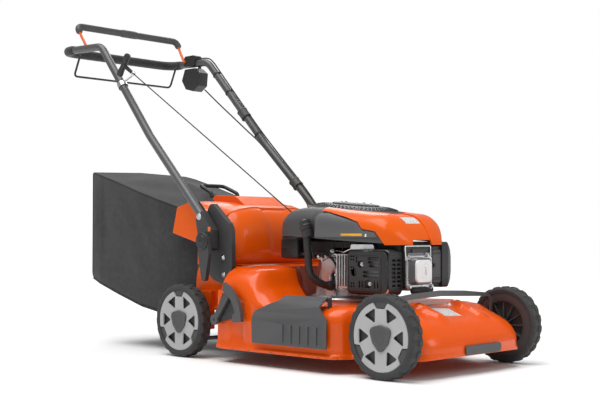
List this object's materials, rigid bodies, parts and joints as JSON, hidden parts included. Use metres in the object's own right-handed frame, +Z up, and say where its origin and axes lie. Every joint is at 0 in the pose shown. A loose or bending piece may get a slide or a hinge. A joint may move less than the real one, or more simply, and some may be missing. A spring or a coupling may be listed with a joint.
{
  "type": "lawn mower",
  "caption": "Petrol walk-behind lawn mower with a stamped deck, folding handle, control bails, side discharge flap and rear grass bag.",
  "frame": {"origin": "middle of the footprint, on the ground", "axes": "+X forward, the way it mows; +Y to the operator's left, along the wheel axles; +Z up"},
  "size_m": [1.545, 0.596, 1.0625],
  "materials": {
    "orange_paint": "gloss",
    "orange_plastic": "satin",
    "gray_plastic": "satin",
    "black_plastic": "satin",
    "gray_tube": "satin powder coat",
    "rubber": "matte",
    "rim_silver": "satin",
    "aluminium": "as cast",
    "steel": "zinc plated",
    "cast": "machined",
    "fabric": "woven polyester"
  },
  "bodies": {
    "deck": {"deck_shell": "orange_paint", "front_bumper": "gray_plastic", "rear_baffle": "black_plastic", "rear_housing": "orange_plastic", "side_cover_left": "gray_plastic", "side_cover_right": "gray_plastic", "height_quadrant": "black_plastic", "gearbox": "aluminium", "drive_belt": "rubber", "crankcase": "aluminium", "cylinder": "aluminium", "valve_cover": "aluminium", "muffler": "steel", "muffler_guard": "black_plastic", "engine_shroud": "gray_plastic", "recoil_cover": "gray_plastic", "fuel_tank": "black_plastic", "oil_tube": "black_plastic", "air_filter_box": "black_plastic", "carburettor": "aluminium", "starter_rope": "black_plastic", "brake_cable": "black_plastic", "drive_cable": "black_plastic"},
    "handle": {"handle_tube": "gray_tube", "handle_grip": "rubber", "handle_bracket_left": "gray_plastic", "handle_bracket_right": "gray_plastic", "control_box": "black_plastic", "starter_guide": "black_plastic"},
    "clamp_left": {"clamp_lever_left": "black_plastic"},
    "clamp_right": {"clamp_lever_right": "black_plastic"},
    "brake_bail": {"brake_bail": "orange_plastic", "brake_bail_grip": "gray_plastic"},
    "drive_bail": {"drive_bail": "black_plastic"},
    "speed_lever": {"speed_lever": "gray_plastic"},
    "starter_grip": {"starter_grip": "black_plastic"},
    "rear_axle": {"rear_axle": "steel"},
    "front_axle": {"front_axle": "steel"},
    "height_lever": {"height_lever": "gray_plastic"},
    "wheel_rear_left": {"tyre_rear_left": "rubber", "rim_rear_left": "rim_silver"},
    "wheel_rear_right": {"tyre_rear_right": "rubber", "rim_rear_right": "rim_silver"},
    "wheel_front_left": {"tyre_front_left": "rubber", "rim_front_left": "rim_silver"},
    "wheel_front_right": {"tyre_front_right": "rubber", "rim_front_right": "rim_silver"},
    "drive_shaft": {"drive_shaft": "steel"},
    "gearbox_pulley": {"gearbox_pulley": "steel"},
    "crank": {"crankshaft": "steel", "blade": "steel", "blade_bolt": "steel", "flywheel": "cast"},
    "rear_flap": {"rear_flap": "orange_plastic"},
    "side_flap": {"side_flap": "gray_plastic"},
    "bag": {"bag_fabric": "fabric", "bag_frame": "black_plastic", "bag_handle": "black_plastic"},
    "dipstick": {"dipstick": "black_plastic"},
    "fuel_cap": {"fuel_cap": "black_plastic"}
  },
  "joints": [
    {"name": "handle_fold", "type": "hinge", "parent": "deck", "child": "handle", "pos_m": [0.015, 0, 0.335], "axis": [0, 1, 0], "range_deg": [0, 115], "deforming": ["starter_rope", "brake_cable", "drive_cable"]},
    {"name": "clamp_left_turn", "type": "hinge", "parent": "handle", "child": "clamp_left", "pos_m": [0.015, 0.2762, 0.335], "axis": [0, 1, 0], "range_deg": [0, 100]},
    {"name": "clamp_right_turn", "type": "hinge", "parent": "handle", "child": "clamp_right", "pos_m": [0.015, -0.2762, 0.335], "axis": [0, 1, 0], "range_deg": [0, 100]},
    {"name": "brake_bail_pull", "type": "hinge", "parent": "handle", "child": "brake_bail", "pos_m": [-0.6525, 0, 0.972], "axis": [0, -1, 0], "range_deg": [0, 40], "stiffness_Nm_per_rad": 1.2, "springref_deg": -28.65},
    {"name": "drive_bail_pull", "type": "hinge", "parent": "handle", "child": "drive_bail", "pos_m": [-0.695, 0, 0.95], "axis": [0, 1, 0], "range_deg": [0, 45], "stiffness_Nm_per_rad": 0.6, "springref_deg": -28.65},
    {"name": "speed_lever_turn", "type": "hinge", "parent": "handle", "child": "speed_lever", "pos_m": [-0.625, 0.2564, 0.905], "axis": [0, 1, 0], "range_deg": [-25, 25]},
    {"name": "starter_pull", "type": "slide", "parent": "handle", "child": "starter_grip", "axis": [-0.7124, -0.2997, 0.6345], "range_m": [0, 0.5], "stiffness_N_per_m": 20, "springref_m": -0.3},
    {"name": "cut_height", "type": "hinge", "parent": "deck", "child": "rear_axle", "pos_m": [-0.04107, 0, 0.0975], "axis": [0, 1, 0], "range_deg": [-38, 24.8]},
    {"name": "front_axle_swing", "type": "hinge", "parent": "deck", "child": "front_axle", "pos_m": [0.61807, 0, 0.0975], "axis": [0, -1, 0], "range_deg": [-38, 24.8]},
    {"name": "height_lever_swing", "type": "hinge", "parent": "deck", "child": "height_lever", "pos_m": [0.088, -0.3, 0.118], "axis": [0, 1, 0], "range_deg": [-12.4, 19]},
    {"name": "rear_left_wheel", "type": "hinge", "parent": "rear_axle", "child": "wheel_rear_left", "pos_m": [-0.0905, 0.262, 0.105], "axis": [0, 1, 0], "continuous": true},
    {"name": "rear_right_wheel", "type": "hinge", "parent": "rear_axle", "child": "wheel_rear_right", "pos_m": [-0.0905, -0.262, 0.105], "axis": [0, 1, 0], "continuous": true},
    {"name": "front_left_wheel", "type": "hinge", "parent": "front_axle", "child": "wheel_front_left", "pos_m": [0.6675, 0.262, 0.105], "axis": [0, 1, 0], "continuous": true},
    {"name": "front_right_wheel", "type": "hinge", "parent": "front_axle", "child": "wheel_front_right", "pos_m": [0.6675, -0.262, 0.105], "axis": [0, 1, 0], "continuous": true},
    {"name": "drive_shaft_spin", "type": "hinge", "parent": "deck", "child": "drive_shaft", "pos_m": [-0.04107, 0, 0.0975], "axis": [0, 1, 0], "continuous": true},
    {"name": "blade_spin", "type": "hinge", "parent": "deck", "child": "crank", "pos_m": [0.3075, 0, 0.1385], "axis": [0, 0, 1], "continuous": true},
    {"name": "gearbox_pulley_spin", "type": "hinge", "parent": "deck", "child": "gearbox_pulley", "pos_m": [-0.04107, 0, 0.1385], "axis": [0, 0, 1], "continuous": true},
    {"name": "rear_flap_lift", "type": "hinge", "parent": "deck", "child": "rear_flap", "pos_m": [0.0045, 0, 0.4265], "axis": [0, 1, 0], "range_deg": [0, 55]},
    {"name": "side_flap_lift", "type": "hinge", "parent": "deck", "child": "side_flap", "pos_m": [0.39, -0.25, 0.187], "axis": [-1, 0, 0], "range_deg": [0, 75], "stiffness_Nm_per_rad": 0.4, "springref_deg": -22.92},
    {"name": "bag_pull", "type": "slide", "parent": "deck", "child": "bag", "axis": [-1, 0, 0], "range_m": [0, 0.12]},
    {"name": "dipstick_pull", "type": "slide", "parent": "deck", "child": "dipstick", "axis": [-0.2305, -0.1088, 0.967], "range_m": [0, 0.1]},
    {"name": "fuel_cap_turn", "type": "hinge", "parent": "deck", "child": "fuel_cap", "pos_m": [0.19, 0.078, 0.4203], "axis": [0, 0, 1], "range_deg": [0, 90]}
  ],
  "couplings": [
    {"joint": "front_axle_swing", "follows": "cut_height", "ratio": 1},
    {"joint": "height_lever_swing", "follows": "cut_height", "ratio": -0.5},
    {"joint": "rear_right_wheel", "follows": "rear_left_wheel", "ratio": 1},
    {"joint": "drive_shaft_spin", "follows": "rear_left_wheel", "ratio": 5},
    {"joint": "gearbox_pulley_spin", "follows": "blade_spin", "ratio": 0.7692}
  ]
}
